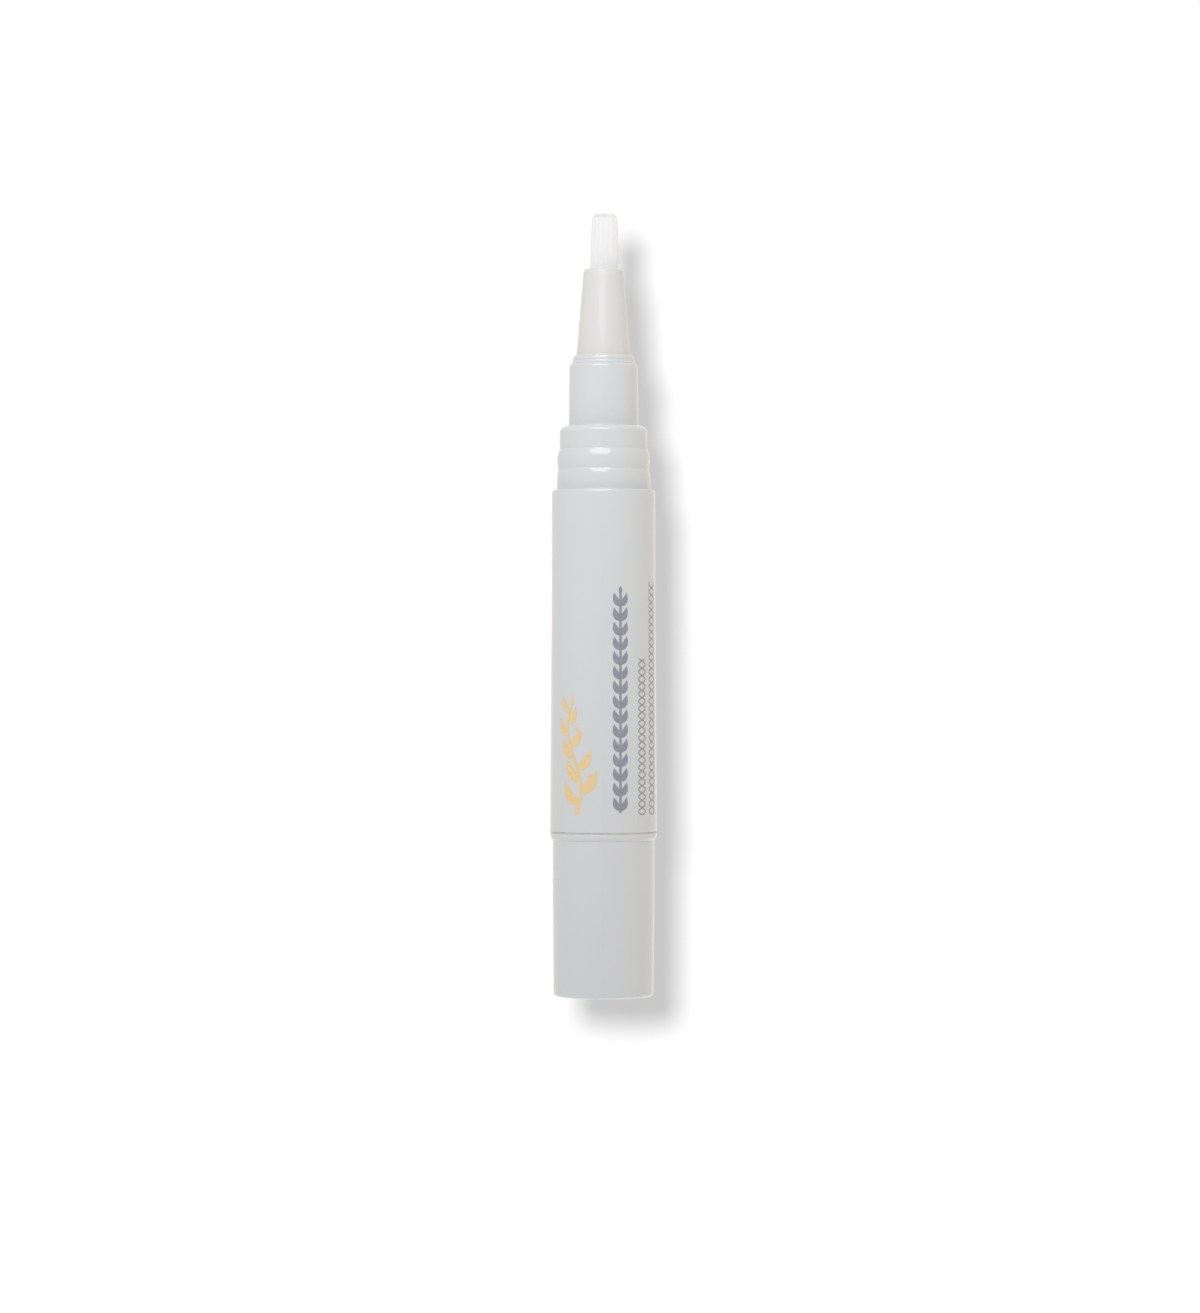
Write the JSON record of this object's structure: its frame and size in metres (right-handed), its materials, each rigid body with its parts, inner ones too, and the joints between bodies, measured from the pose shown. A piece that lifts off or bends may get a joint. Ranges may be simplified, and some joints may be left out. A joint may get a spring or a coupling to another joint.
{
  "type": "nail oil pen",
  "caption": "Slim twist-up nail oil pen, shown without its cap: fibre tuft in a translucent cone, stepped collar for a cap, plain barrel and a turning knob.",
  "frame": {"origin": "centre of the knob's flat end, on which the pen stands", "axes": "+Z along the pen's axis from the knob to the brush; +X and +Y are square to it, and the side that the picture shows faces -Y"},
  "size_m": [0.0132, 0.0132, 0.0969],
  "materials": {
    "fibre": "fine white synthetic fibres",
    "holder_plastic": "translucent natural polypropylene, softly glossy",
    "natural_plastic": "milky natural polypropylene",
    "silver_plastic": "silver-grey moulded plastic with a satin gloss",
    "acetal": "white acetal, as moulded",
    "seal_rubber": "dark brown nitrile rubber",
    "pale_rubber": "beige elastomer"
  },
  "bodies": {
    "barrel_unit": {"bristle_tuft": "fibre", "feed_tube": "natural_plastic", "tuft_plug": "natural_plastic", "brush_holder": "holder_plastic", "nose": "silver_plastic", "nose_seal": "seal_rubber", "barrel": "silver_plastic", "oil_tank": "natural_plastic", "guide_nut": "acetal", "ratchet_housing": "acetal"},
    "knob_unit": {"pawl_ring": "acetal", "drive_sleeve": "acetal", "friction_ring": "pale_rubber", "knob_shell": "silver_plastic"},
    "screw_unit": {"screw_rod": "acetal"},
    "piston_unit": {"piston": "acetal", "piston_rings": "seal_rubber"}
  },
  "joints": [
    {"name": "knob_twist", "type": "hinge", "parent": "barrel_unit", "child": "knob_unit", "pos_m": [0, 0, 0], "axis": [0, 0, 1], "range_deg": [0, 3780], "deforming": ["pawl_ring"]},
    {"name": "rod_advance", "type": "slide", "parent": "knob_unit", "child": "screw_unit", "axis": [0, 0, 1], "range_m": [0, 0.021]},
    {"name": "piston_advance", "type": "slide", "parent": "barrel_unit", "child": "piston_unit", "axis": [0, 0, 1], "range_m": [0, 0.021]}
  ],
  "couplings": [
    {"joint": "knob_twist", "follows": "rod_advance", "rad_per_m": 3141.6},
    {"joint": "piston_advance", "follows": "rod_advance", "ratio": 1}
  ]
}
